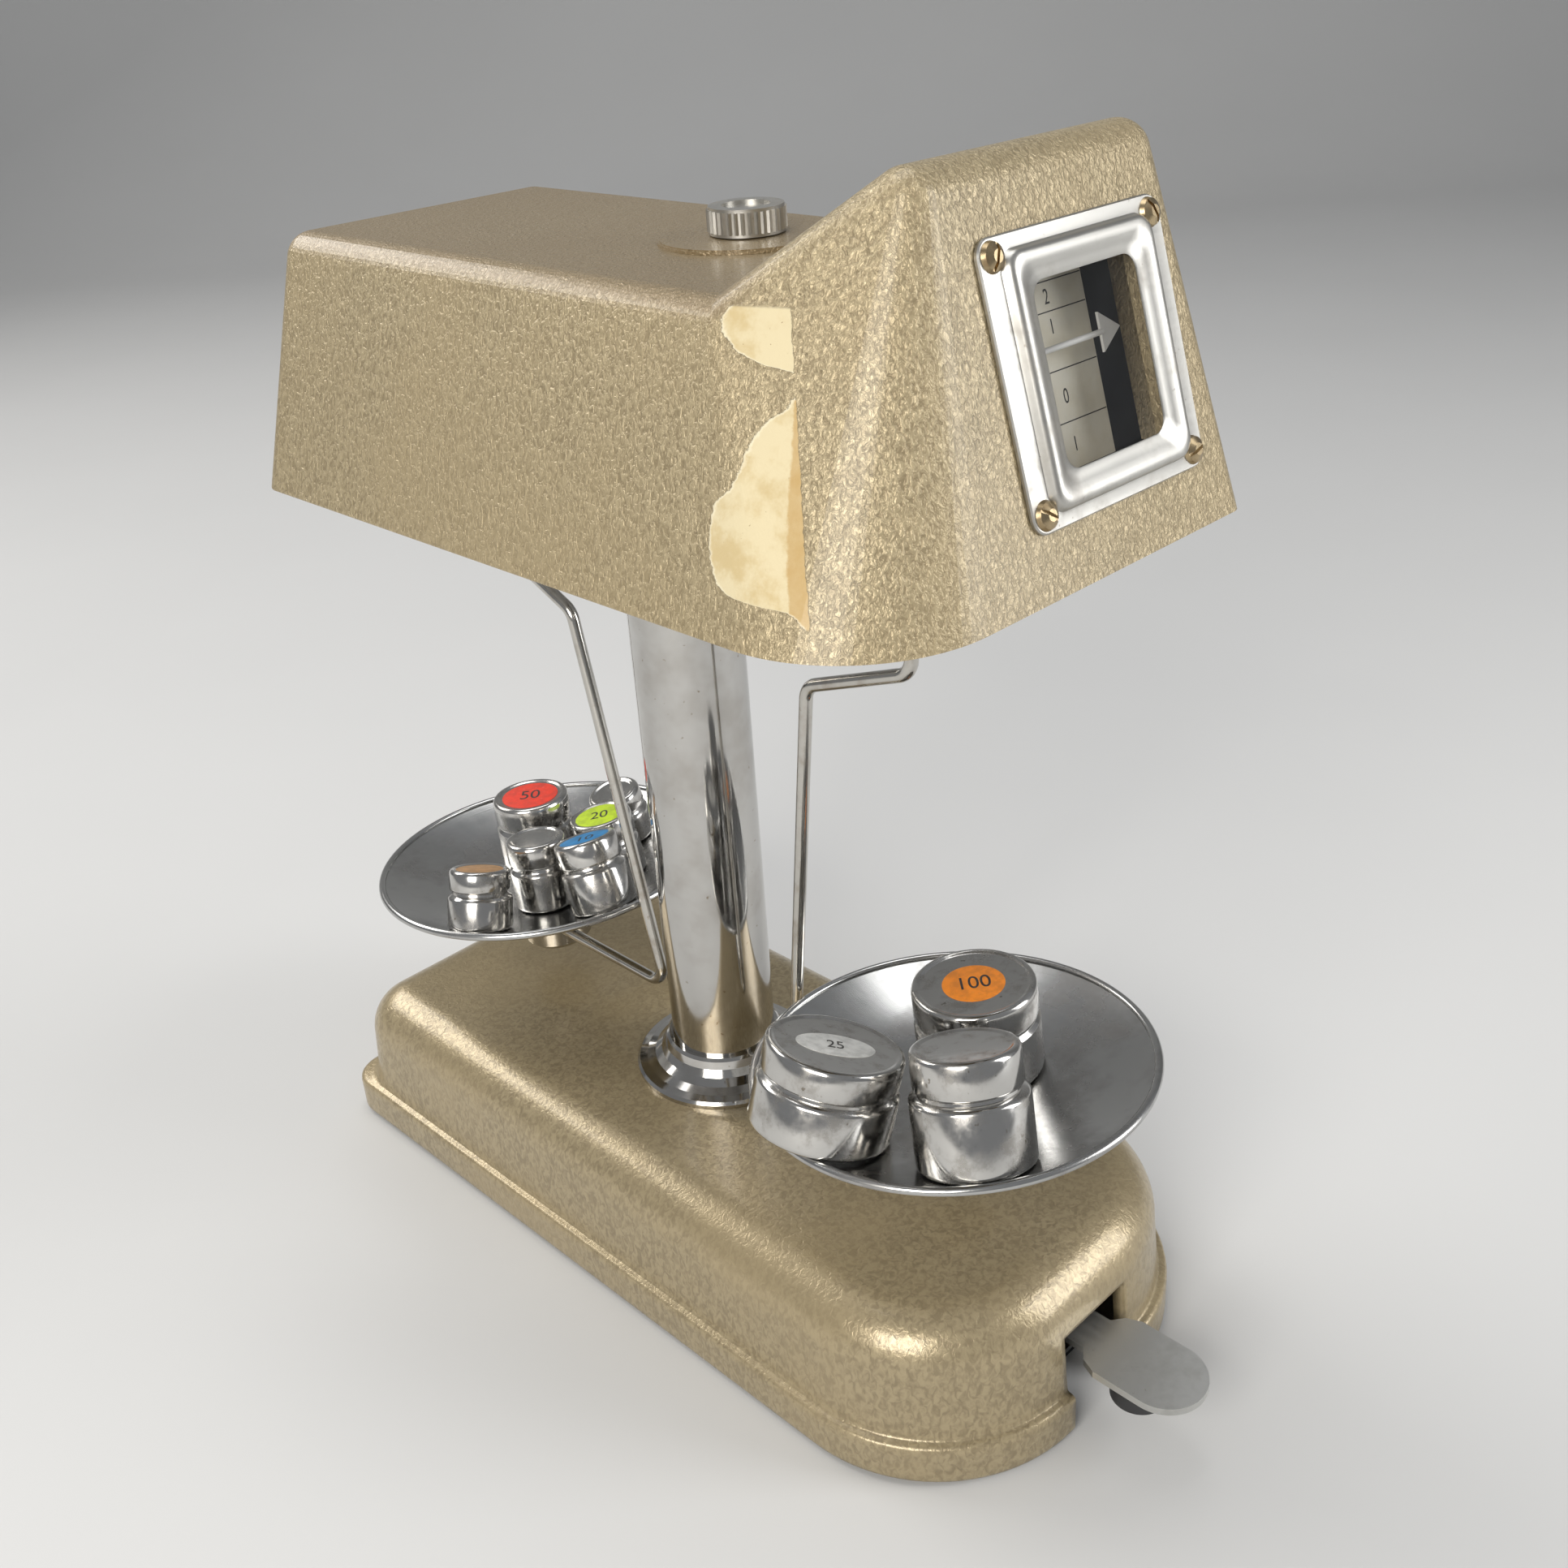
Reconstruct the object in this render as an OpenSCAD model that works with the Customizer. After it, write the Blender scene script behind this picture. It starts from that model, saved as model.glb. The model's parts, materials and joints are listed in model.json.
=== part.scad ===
// Counter balance with hanging pans, a hooded head and an arrest lever. Millimetres, Z up.
// Origin: column axis on the table plane. The window faces -Y, +X is to the right of the reader.

/* [Which piece] */
// piece to draw

/* [Base] */
// half width of the rim
base_half = 76.1; // [60:0.1:90]
// front of the rim
base_front = -173.3; // [-200:0.1:-150]
// back of the rim
base_back = 155.4; // [130:0.1:180]
// front corner radius of the rim
base_corner = 58.1; // [40:0.1:70]
// height of the casting's top
base_top = 57.1; // [45:0.1:70]
// height of the raised lip round the bottom
lip_top = 16.2; // [10:0.1:22]
// rounding of the casting's top edge
top_round = 18; // [10:0.5:19]
// casting wall
base_wall = 4.5; // [3:0.5:6]

/* [Column] */
// outer radius
col_r = 19; // [15:0.5:24]
// inner radius
col_bore = 16.5; // [12:0.5:20]

/* [Head cover] */
// open lower edge
head_low = 283.9; // [260:0.1:300]
// flat rear top
head_top = 358.4; // [330:0.1:380]
// front ridge
ridge_top = 386; // [370:0.1:400]
// left and right of the lower edge
low_left = -86.3; // [-95:0.1:-70]
low_right = 70.4; // [60:0.1:90]
// left and right of the rear top
top_left = -64.2; // [-75:0.1:-50]
top_right = 42.3; // [35:0.1:60]
// left and right of the ridge
ridge_left = -37.2; // [-60:0.1:-30]
ridge_right = 62.9; // [40:0.1:70]
// back, line where the ramp starts, and lower front
head_back = 101; // [90:0.1:115]
ramp_start = -91.5; // [-100:0.1:-70]
head_front = -160.8; // [-170:0.1:-150]
// lean of the window face from upright, degrees
face_lean = 15.64; // [5:0.01:25]
// lower front corner radii, left and right
corner_left = 42.9; // [20:0.1:60]
corner_right = 5.7; // [4:0.1:20]
// cover wall
cover_wall = 3; // [2:0.5:4]

/* [Window] */
// middle of the window from the column's plane
window_x = 16.6; // [0:0.1:25]
// half spacing of the four screws across and along the face
screw_x = 32.1; // [25:0.1:40]
screw_y = 30.9; // [25:0.1:40]

/* [Balance] */
// height of the knife line
pivot_z = 318; // [310:0.5:330]
// beam arm from the middle knife to each end knife
arm = 86; // [70:0.5:95]
// pan radius
pan_r = 66.1; // [60:0.1:75]
// pan centres along the base
front_pan_y = -111.2; // [-125:0.1:-100]
rear_pan_y = 101; // [90:0.1:110]
// rim heights of the pans
front_pan_z = 108.6; // [95:0.1:120]
rear_pan_z = 106.7; // [95:0.1:120]
// lean of both pans as they stand on their hubs, degrees
pan_lean = -4.3; // [-8:0.1:8]
// hanger rod radius
rod_r = 2.2; // [1.5:0.1:3]

/* [Lever] */
// pivot of the lever
lever_y = -40; // [-60:1:-20]
lever_z = 24; // [20:0.5:30]

/* [Hidden] */
$fn = 64;
eps = 0.02;
face_mid_z = 334.25;
face_mid_y = head_front + (face_mid_z - head_low) * tan(face_lean);
ridge_r = 9;
ridge_cz = ridge_top - ridge_r;
ridge_cy = head_front + (ridge_cz - head_low) * tan(face_lean) + ridge_r / cos(face_lean);
body_in = 2.2;
spring_turns = 4;
spring_wire = 0.6;
spring_mean = 6;
spring_low = 33.2;
spring_high = 43.8;

// Straight rod between two points
module rod(a, b, r) {
    v = b - a;
    l = norm(v);
    translate(a) rotate([0, acos(v[2] / l), atan2(v[1], v[0])]) cylinder(r = r, h = l);
}

// Bent rod in an upright plane as one swept skin: points [y, z], bend radius br at each inner point
function unit(v) = v / norm(v);
function turn(d, e) = acos(min(1, max(-1, d * e)));
function bend(p, i, br) = let (d = unit(p[i] - p[i - 1]), e = unit(p[i + 1] - p[i]), g = turn(d, e),
    t = br * tan(g / 2), c = p[i] + unit(e - d) * br / cos(g / 2), s = unit(p[i] - d * t - c))
    [for (k = [0 : 6]) c + br * (s * cos(g * k / 6) + d * sin(g * k / 6))];
module bent_rod(x, p, br, r) {
    n = len(p);
    q = concat([p[0]], [for (i = [1 : n - 2]) each bend(p, i, br)], [p[n - 1]]);
    m = len(q);
    t = [for (i = [0 : m - 1]) i == 0 ? unit(q[1] - q[0]) : i == m - 1 ? unit(q[i] - q[i - 1])
        : unit(unit(q[i + 1] - q[i]) + unit(q[i] - q[i - 1]))];
    pts = [for (i = [0 : m - 1], j = [0 : 11]) let (b = j * 30)
        [x + r * cos(b), q[i][0] - r * sin(b) * t[i][1], q[i][1] + r * sin(b) * t[i][0]]];
    polyhedron(points = pts, faces = concat([[for (j = [0 : 11]) j]],
        [for (i = [0 : m - 2], j = [0 : 11]) [i * 12 + (j + 1) % 12, i * 12 + j, (i + 1) * 12 + j,
            (i + 1) * 12 + (j + 1) % 12]], [[for (j = [0 : 11]) m * 12 - 1 - j]]));
}

// Plan of the base: wide front corners, tight rear ones
module base_plan(inset, rear_r) {
    h = base_half - inset;
    f = base_front + inset;
    b = base_back - inset;
    q = base_corner - inset;
    translate([-h, f + q]) square([2 * h, b - f - q - rear_r]);
    translate([-h + rear_r, f + q]) square([2 * (h - rear_r), b - f - q]);
    translate([-h + q, f]) square([2 * (h - q), 2 * q]);
    for (s = [-1, 1]) {
        translate([s * (h - q), f + q]) circle(r = q);
        translate([s * (h - rear_r), b - rear_r]) circle(r = rear_r);
    }
}

// One corner of the casting: drafted side and a rounded top edge
module corner_form(r, low, high, round_r) {
    draft = (high - low) * tan(3);
    rt = r - draft;
    rotate_extrude($fn = 72)
        polygon(concat([[0, low], [r, low]],
            [for (k = [0 : 8]) [rt - round_r + round_r * cos(k * 11.25),
                high - round_r + round_r * sin(k * 11.25)]],
            [[0, high]]));
}

module casting_form(inset, low, high, round_r) {
    h = base_half - inset;
    f = base_front + inset;
    b = base_back - inset;
    q = base_corner - inset;
    rr = 23 - (inset - body_in);
    hull() for (s = [-1, 1]) {
        translate([s * (h - q), f + q, 0]) corner_form(q, low, high, round_r);
        translate([s * (h - rr), b - rr, 0]) corner_form(rr, low, high, round_r);
    }
}

plate_posts = [[-48, -118], [48, -118], [-50, 118], [50, 118]];

module base_casting() {
    color([0.68, 0.6, 0.45]) difference() {
        union() {
            difference() {
                union() {
                    casting_form(body_in, 1.6, base_top, top_round);
                    translate([0, 0, 1.6]) linear_extrude(lip_top - 1.6) base_plan(0, 13);
                }
                casting_form(body_in + base_wall, -1, base_top - base_wall, top_round - base_wall);
                translate([0, 0, -1]) linear_extrude(6) base_plan(5.5, 9);
            }
            for (p = plate_posts) translate([p[0], p[1], 3.32]) cylinder(r = 6, h = base_top - base_wall - 3);
        }
        translate([0, 0, 30]) cylinder(r = col_r + 0.05, h = 60);
        for (p = plate_posts) translate([p[0], p[1], -1]) cylinder(r = 2.05, h = 18);
        translate([-16, base_front - 10, 0]) cube([32, 32, 38]);
    }
}

module base_pad() {
    color([0.12, 0.12, 0.12]) linear_extrude(1.6) difference() {
        base_plan(2.6, 10.5);
        translate([-17, base_front - 1]) square([34, 22]);
    }
}

module bottom_plate() {
    color([0.45, 0.45, 0.46]) translate([0, 0, 1.6]) linear_extrude(1.72) difference() {
        base_plan(6.1, 8.4);
        translate([-17, base_front - 1]) square([34, 22]);
        for (p = plate_posts) translate(p) circle(r = 4.3);
    }
}

module plate_screws() {
    color([0.6, 0.6, 0.6]) for (p = plate_posts) translate([p[0], p[1], 0]) {
        translate([0, 0, 1.7]) cylinder(r = 4.2, h = 1.6);
        translate([0, 0, 3.2]) cylinder(r = 2, h = 11);
    }
}

module foot_flange() {
    color([0.8, 0.8, 0.82]) translate([0, 0, base_top]) rotate_extrude()
        polygon([[col_r + 0.05, 0], [33.3, 0], [33.3, 1.6], [32.4, 2.6], [29.5, 3.4], [26.4, 4.6],
            [23.8, 6.6], [22.2, 9.2], [21.4, 12], [20.4, 13], [col_r + 0.05, 13]]);
}

module column() {
    color([0.85, 0.85, 0.87]) difference() {
        translate([0, 0, 40]) cylinder(r = col_r, h = head_low + 2.7 - 40);
        translate([0, 0, 39]) cylinder(r = col_bore, h = 260);
    }
}

module column_nut() {
    color([0.5, 0.5, 0.5]) difference() {
        translate([0, 0, 42]) cylinder(r = 29, h = base_top - base_wall - 42, $fn = 6);
        translate([0, 0, 41]) cylinder(r = col_r + 0.05, h = 20);
    }
}

module rod_guides() {
    color([0.75, 0.6, 0.3]) for (z = [44, 276]) difference() {
        translate([0, 0, z]) cylinder(r = col_bore - 0.05, h = 8);
        translate([0, 0, z - 1]) cylinder(r = 3.06, h = 10);
    }
}

module head_collar() {
    color([0.5, 0.5, 0.5]) difference() {
        translate([0, 0, head_low - 4.3]) cylinder(r = 27, h = 7);
        translate([0, 0, head_low - 6]) cylinder(r = col_r + 0.05, h = 9);
    }
}

cover_bosses = [[-74, 66], [-74, -66], [56, 66], [56, -66]];

module head_plate() {
    color([0.45, 0.45, 0.46]) translate([0, 0, head_low + 2.7]) linear_extrude(2.4) difference() {
        translate([-80, -112]) square([144, 206]);
        circle(r = col_bore);
        for (q = cover_bosses) translate(q) circle(r = 2.1);
        translate([-9, -108]) square([18, 30]);
        translate([-16, 74]) square([25, 30]);
        for (s = [-1, 1]) translate([s * 20, 0]) for (t = [-1, 1]) translate([0, t * 9]) circle(r = 2.1);
    }
}

module cover_screws() {
    color([0.6, 0.6, 0.6]) for (q = cover_bosses) translate([q[0], q[1], 0]) {
        translate([0, 0, head_low + 0.6]) cylinder(r = 4, h = 2.08);
        translate([0, 0, head_low + 2.5]) cylinder(r = 2, h = 12);
    }
}

module fulcrum_cheeks() {
    color([0.5, 0.5, 0.52]) for (s = [-1, 1]) difference() {
        translate([s * 14.5, 0, 0]) rotate([90, 0, 90]) translate([0, 0, -2]) linear_extrude(4)
            polygon([[-15, head_low + 5.1], [15, head_low + 5.1], [15, head_low + 8], [9, pivot_z - 8],
                [9, pivot_z + 6], [-9, pivot_z + 6], [-9, pivot_z - 8], [-15, head_low + 8]]);
        translate([s * 14.5 - 3, -6.1, pivot_z - 4.1]) cube([6, 12.2, 12]);
    }
}

module bearing_blocks() {
    color([0.55, 0.25, 0.2]) for (s = [-1, 1])
        translate([s * 14.5, 0, 0]) rotate([90, 0, 90]) translate([0, 0, -2]) linear_extrude(4)
            polygon([[-6, pivot_z - 4], [6, pivot_z - 4], [6, pivot_z + 4], [0, pivot_z - 0.1], [-6, pivot_z + 4]]);
}

// Solid form of the cover: flat rear and the raised, leaning front; t is the inset
module cover_form(t, drop) {
    r = 9 - t;
    rz = head_top - 9;
    l = head_low - drop;
    hull() {
        for (y = [head_back + 5 - 9, ramp_start]) {
            translate([top_left + 10, y, rz]) sphere(r = r, $fn = 48);
            translate([top_right - 10, y, rz]) sphere(r = r, $fn = 48);
        }
        for (y = [head_back - 8, ramp_start]) {
            translate([low_left + 8, y, l]) cylinder(r = 8 - t, h = 0.4 + drop);
            translate([low_right - 8, y, l]) cylinder(r = 8 - t, h = 0.4 + drop);
        }
    }
    hull() {
        translate([top_left + 10, ramp_start, rz]) sphere(r = r, $fn = 48);
        translate([top_right - 10, ramp_start, rz]) sphere(r = r, $fn = 48);
        translate([ridge_left + ridge_r, ridge_cy, ridge_cz]) sphere(r = ridge_r - t, $fn = 48);
        translate([ridge_right - ridge_r, ridge_cy, ridge_cz]) sphere(r = ridge_r - t, $fn = 48);
        translate([low_left + 8, ramp_start, l]) cylinder(r = 8 - t, h = 0.4 + drop);
        translate([low_right - 8, ramp_start, l]) cylinder(r = 8 - t, h = 0.4 + drop);
        translate([low_left + corner_left, head_front + corner_left, l])
            cylinder(r = corner_left - t, h = 0.02 + drop, $fn = 96);
        translate([low_right - corner_right, head_front + corner_right, l])
            cylinder(r = corner_right - t, h = 0.02 + drop);
    }
}

// Frame on the window face: x across, y up the face, z out of it
module on_face() {
    translate([window_x, face_mid_y, face_mid_z]) rotate([90 - face_lean, 0, 0]) children();
}

module head_cover() {
    color([0.7, 0.62, 0.46]) difference() {
        union() {
            difference() {
                cover_form(0, 0);
                cover_form(cover_wall, 1);
            }
            for (q = cover_bosses) translate([q[0], q[1], head_low + 5.1]) linear_extrude(9.2) {
                circle(r = 5);
                translate([q[0] < 0 ? -7 : 0, -5]) square([q[0] < 0 ? 7 : 7.8, 10]);
            }
        }
        for (q = cover_bosses) translate([q[0], q[1], head_low]) cylinder(r = 2.05, h = 20);
        on_face() {
            translate([-24, -26, -8]) cube([48, 52, 16]);
            for (a = [-1, 1], b = [-1, 1]) translate([a * screw_x, b * screw_y, -8]) cylinder(r = 1.6, h = 16);
        }
        translate([0, -42, head_top - 12]) cylinder(r = 5.2, h = 20);
    }
}

module adjuster_cap() {
    color([0.7, 0.62, 0.46]) translate([0, -42, head_top]) difference() {
        union() {
            cylinder(r = 25.2, h = 0.8);
            cylinder(r = 24.6, h = 1.2);
        }
        translate([0, 0, -1]) cylinder(r = 2.56, h = 4);
    }
}

module adjuster_knob() {
    color([0.82, 0.82, 0.84]) translate([0, -42, head_top + 1.6]) difference() {
        union() {
            cylinder(r = 10.6, h = 7.4);
            for (k = [0 : 35]) rotate(k * 10) translate([10.4, 0, 0.8]) rotate(45)
                translate([-0.55, -0.55, 0]) cube([1.1, 1.1, 5.8]);
        }
        translate([0, 0, 6.2]) cylinder(r = 6.8, h = 2);
        translate([0, 0, -1]) cylinder(r = 2.52, h = 5);
    }
}

module adjuster_spindle() {
    color([0.6, 0.6, 0.6]) translate([0, -42, 0]) {
        translate([0, 0, head_top - 16]) cylinder(r = 2.5, h = 21);
        translate([3, 0, head_top - 20]) cylinder(r = 8, h = 4.02);
    }
}

module rounded_plate(w, h, r, t) {
    linear_extrude(t) {
        square([2 * w, 2 * (h - r)], center = true);
        square([2 * (w - r), 2 * h], center = true);
        for (a = [-1, 1], b = [-1, 1]) translate([a * (w - r), b * (h - r)]) circle(r = r);
    }
}

module bezel() {
    color([0.72, 0.72, 0.72]) on_face() difference() {
        union() {
            translate([0, 0, eps]) rounded_plate(37, 35.6, 5, 1.4);
            translate([0, 0, eps]) rounded_plate(29.5, 31.5, 5, 3.2);
            translate([0, 0, eps]) rounded_plate(27.5, 29.5, 5, 4.4);
        }
        translate([0, 0, -1]) rounded_plate(21, 23, 4.5, 8);
        translate([0, 0, -1]) rounded_plate(25, 27, 5, 3.2);
        for (a = [-1, 1], b = [-1, 1]) translate([a * screw_x, b * screw_y, -1]) cylinder(r = 1.6, h = 4);
    }
}

module bezel_screws() {
    color([0.7, 0.6, 0.4]) on_face() for (a = [-1, 1], b = [-1, 1])
        translate([a * screw_x, b * screw_y, 0]) difference() {
            union() {
                translate([0, 0, 1.45]) cylinder(r1 = 3.9, r2 = 3.4, h = 1.2);
                translate([0, 0, 2.65]) cylinder(r1 = 3.4, r2 = 1.6, h = 1);
                translate([0, 0, -11]) cylinder(r = 1.5, h = 12.6);
            }
            rotate(40 + a * 25 + b * 50) translate([-5, -0.45, 2.5]) cube([10, 0.9, 3]);
        }
}

module window_glass() {
    color([0.7, 0.8, 0.85, 0.3]) on_face() translate([0, 0, 0.1]) rounded_plate(24.8, 25.9, 3, 2);
}

module card_bracket() {
    color([0.15, 0.15, 0.16]) on_face() difference() {
        union() {
            translate([-25, -35, -17.4]) cube([60, 70, 1.4]);
            for (b = [-1, 1]) {
                translate([-36, b * 31 - 4, -17.4]) cube([72, 8, 1.4]);
                for (a = [-1, 1]) translate([a * screw_x, b * screw_y, -16.1]) cylinder(r = 3.6, h = 12.9);
            }
        }
        for (a = [-1, 1], b = [-1, 1]) translate([a * screw_x, b * screw_y, -14]) cylinder(r = 1.56, h = 14);
    }
}

module scale_card() {
    color([0.93, 0.9, 0.8]) on_face() translate([-24, -27, -15.95]) cube([46, 54, 0.5]);
}

module lever_bracket() {
    color([0.5, 0.5, 0.52]) difference() {
        union() {
            translate([-16, lever_y - 12, 3.32]) cube([32, 24, 2]);
            for (s = [-1, 1]) translate([s * 9.5 - 1.25, lever_y - 7, 5]) cube([2.5, 14, 26]);
        }
        translate([-20, lever_y, lever_z]) rotate([0, 90, 0]) cylinder(r = 3.05, h = 40);
    }
}

module lever_pin() {
    color([0.65, 0.65, 0.66]) translate([-13, lever_y, lever_z]) rotate([0, 90, 0]) cylinder(r = 3, h = 26);
}

module lever() {
    color([0.62, 0.62, 0.62]) difference() {
        union() {
            translate([0, 0, lever_z + 2]) linear_extrude(2.6) {
                translate([0, -194.8]) circle(r = 13.7);
                polygon([[-13.7, -194.8], [13.7, -194.8], [13.7, -177.5], [11.5, -172.5], [7.5, -169.5],
                    [7.5, 7], [-7.5, 7], [-7.5, -169.5], [-11.5, -172.5], [-13.7, -177.5]]);
            }
            translate([-7.5, lever_y, lever_z]) rotate([0, 90, 0]) cylinder(r = 5.6, h = 15);
        }
        translate([-10, lever_y, lever_z]) rotate([0, 90, 0]) cylinder(r = 3.06, h = 20);
        translate([0, -186, lever_z]) cylinder(r = 2, h = 4);
    }
}

module lever_bumper() {
    color([0.05, 0.05, 0.05]) translate([0, -186, 0]) {
        translate([0, 0, lever_z - 9.6]) cylinder(r1 = 9.2, r2 = 10, h = 11.58);
        translate([0, 0, lever_z + 1.5]) cylinder(r = 1.95, h = 2.4);
    }
}

module arrest_rod() {
    color([0.7, 0.7, 0.7]) {
        translate([0, 0, lever_z + 4.9]) cylinder(r = 3, h = 298 - lever_z - 4.9);
        translate([0, 0, 30.5]) cylinder(r = 8.5, h = 2.6);
    }
}

module arrest_yoke() {
    color([0.7, 0.6, 0.35]) difference() {
        union() {
            translate([-3.5, -20, 294]) cube([7, 40, 4]);
            translate([0, 0, 292]) cylinder(r = 6, h = 7);
            for (s = [-1, 1]) translate([0, s * 16.5, 297.9]) cylinder(r1 = 3.4, r2 = 2.4, h = 5);
        }
        translate([0, 0, 290]) cylinder(r = 3.03, h = 8.05);
    }
}

// Coil as one unbroken tube, its last quarter turns closed flat
function coil_z(a) = spring_low + 0.65 + (spring_high - spring_low - 1.3) * a / (360 * spring_turns);
module arrest_spring() {
    steps = spring_turns * 20;
    ring = 8;
    pts = [for (i = [0 : steps], j = [0 : ring - 1]) let (a = i * 18, b = j * 45)
        [(spring_mean + spring_wire * cos(b)) * cos(a), (spring_mean + spring_wire * cos(b)) * sin(a),
            coil_z(a) + spring_wire * sin(b)]];
    sides = [for (i = [0 : steps - 1], j = [0 : ring - 1])
        [i * ring + j, i * ring + (j + 1) % ring, (i + 1) * ring + (j + 1) % ring, (i + 1) * ring + j]];
    color([0.6, 0.6, 0.62]) polyhedron(points = pts, faces = concat([[for (j = [0 : ring - 1]) ring - 1 - j]],
        [for (f = sides) [f[3], f[2], f[1], f[0]]], [[for (j = [0 : ring - 1]) steps * ring + j]]));
    echo(least_coil_gap = (spring_high - spring_low - 1.3) / spring_turns - 2 * spring_wire);
}

// Knives: three sided bars lying across the beam, edge down in the middle and up at the ends
module knife_bar(y, up, half, g) {
    s = up ? -1 : 1;
    translate([-half, 0, 0]) rotate([90, 0, 90]) linear_extrude(2 * half)
        polygon([[y, pivot_z - s * g * 2], [y + 3.4 + g, pivot_z + s * (5.8 + g)],
            [y - 3.4 - g, pivot_z + s * (5.8 + g)]]);
}

module beam() {
    color([0.75, 0.62, 0.32]) difference() {
        union() {
            translate([-4, 0, 0]) rotate([90, 0, 90]) linear_extrude(8)
                polygon([[-128, pivot_z - 5], [-96, pivot_z - 6.5], [-20, pivot_z - 9], [20, pivot_z - 9],
                    [88, pivot_z - 6.5], [92, pivot_z - 5], [92, pivot_z + 5], [88, pivot_z + 6.5],
                    [20, pivot_z + 11], [-20, pivot_z + 11], [-96, pivot_z + 6.5], [-128, pivot_z + 5]]);
            translate([0, 0, pivot_z + 10.9]) cylinder(r = 2, h = 17);
        }
        knife_bar(0, false, 5, 0.03);
        for (s = [-1, 1]) knife_bar(s * arm, true, 5, 0.03);
        for (s = [-1, 1]) for (k = [28, 48, 67]) translate([-5, s * k, pivot_z]) rotate([0, 90, 0])
            cylinder(r = 5, h = 10);
        translate([-5, -123, pivot_z + 1]) rotate([0, 90, 0]) cylinder(r = 1.05, h = 10);
    }
}

module centre_knife() {
    color([0.5, 0.5, 0.55]) knife_bar(0, false, 17, 0);
}

module end_knives() {
    color([0.5, 0.5, 0.55]) for (s = [-1, 1]) knife_bar(s * arm, true, 9.5, 0);
}

module poise_nuts() {
    color([0.75, 0.62, 0.32]) for (z = [4, 9]) difference() {
        translate([0, 0, pivot_z + 11 + z]) cylinder(r = 6, h = 4);
        translate([0, 0, pivot_z + 10 + z]) cylinder(r = 2.04, h = 6);
    }
}

// Needle: out of the beam's nose, past the card, then across the window with an arrow head
needle_y = face_mid_y + 5 * sin(face_lean) + 10 * cos(face_lean);
needle_z = face_mid_z + 5 * cos(face_lean) - 10 * sin(face_lean);
module pointer() {
    color([0.92, 0.92, 0.9]) {
        rod([3.9, -123, pivot_z + 1], [-13.4, -123, pivot_z + 1], 1);
        rod([-13, -123, pivot_z + 1.5], [-13, needle_y + 0.5, needle_z], 0.9);
        rod([-13.6, needle_y, needle_z], [window_x + 19, needle_y, needle_z], 0.8);
        translate([window_x + 18, needle_y, needle_z]) rotate([90 - face_lean, 0, 0])
            translate([0, 0, -0.4]) linear_extrude(0.8) polygon([[0, -5.2], [8.4, 0], [0, 5.2]]);
    }
}

module stirrup(y, x, out) {
    difference() {
        union() {
            for (s = [-1, 1]) translate([s * 6.6 - 1.6, y, 0]) rotate([90, 0, 90]) linear_extrude(3.2)
                difference() {
                    translate([-8, pivot_z - 21]) square([16, 28]);
                    polygon([[0, pivot_z + 0.1], [7, pivot_z - 7], [7, pivot_z - 12], [-7, pivot_z - 12],
                        [-7, pivot_z - 7]]);
                }
            translate([-8.2, min(y - 8, y + out - 4), pivot_z - 21]) cube([16.4, 12 + abs(out), 5]);
        }
        translate([x, y + out, pivot_z - 22]) cylinder(r = rod_r + 0.03, h = 8);
    }
}

module front_stirrup() {
    color([0.75, 0.62, 0.32]) stirrup(-arm, 0, -12);
}

module rear_stirrup() {
    color([0.75, 0.62, 0.32]) stirrup(arm, -5, 4);
}

module front_hanger() {
    color([0.8, 0.8, 0.78]) bent_rod(0, [[-arm - 12, pivot_z - 16.2], [-98, 241], [-54.5, 225],
        [-38, 79.5], [front_pan_y + 3, 79.5]], 7, rod_r);
}

module rear_hanger() {
    color([0.8, 0.8, 0.78]) bent_rod(-5, [[arm + 4, pivot_z - 16.2], [arm + 4, 241], [55, 225],
        [25.5, 79.5], [rear_pan_y - 3, 79.5]], 7, rod_r);
}

// Hub under a pan: turned cup with a stub that centres the dish, bored for the hanger
module hub(y, z, x) {
    difference() {
        translate([0, y, z]) rotate([pan_lean, 0, 0]) rotate_extrude()
            polygon([[0, -37], [11.6, -37], [13.4, -35.2], [13.4, -21], [11.4, -18.6], [8.4, -16.8], [8.4, -14.8],
                [13.6, -13.6], [13.6, -11.62], [5, -11.62], [5, -10.54], [0, -10.54]]);
        translate([x, y, 79.5]) rotate([y < 0 ? -90 : 90, 0, 0]) cylinder(r = rod_r + 0.03, h = 40);
    }
}

module front_hub() {
    color([0.78, 0.78, 0.78]) hub(front_pan_y, front_pan_z, 0);
}

module rear_hub() {
    color([0.78, 0.78, 0.78]) hub(rear_pan_y, rear_pan_z, -5);
}

// Dish: flat middle, curved flank, rolled rim; the middle has a hole over the hub's stub
module pan(y, z) {
    translate([0, y, z]) rotate([pan_lean, 0, 0]) rotate_extrude($fn = 96) {
        polygon([[5.06, -11.6], [24, -11.6], [38, -9.6], [50, -6.4], [59, -3.2], [pan_r - 1.4, -0.6],
            [pan_r - 1.4, 0.5], [58.6, -2.1], [49.6, -5.3], [37.8, -8.5], [24, -10.5], [5.06, -10.5]]);
        translate([pan_r - 1.5, 0]) circle(r = 1.5, $fn = 32);
    }
}

module front_pan() {
    color([0.85, 0.85, 0.86]) pan(front_pan_y, front_pan_z);
}

module rear_pan() {
    color([0.85, 0.85, 0.86]) pan(rear_pan_y, rear_pan_z);
}

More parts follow.
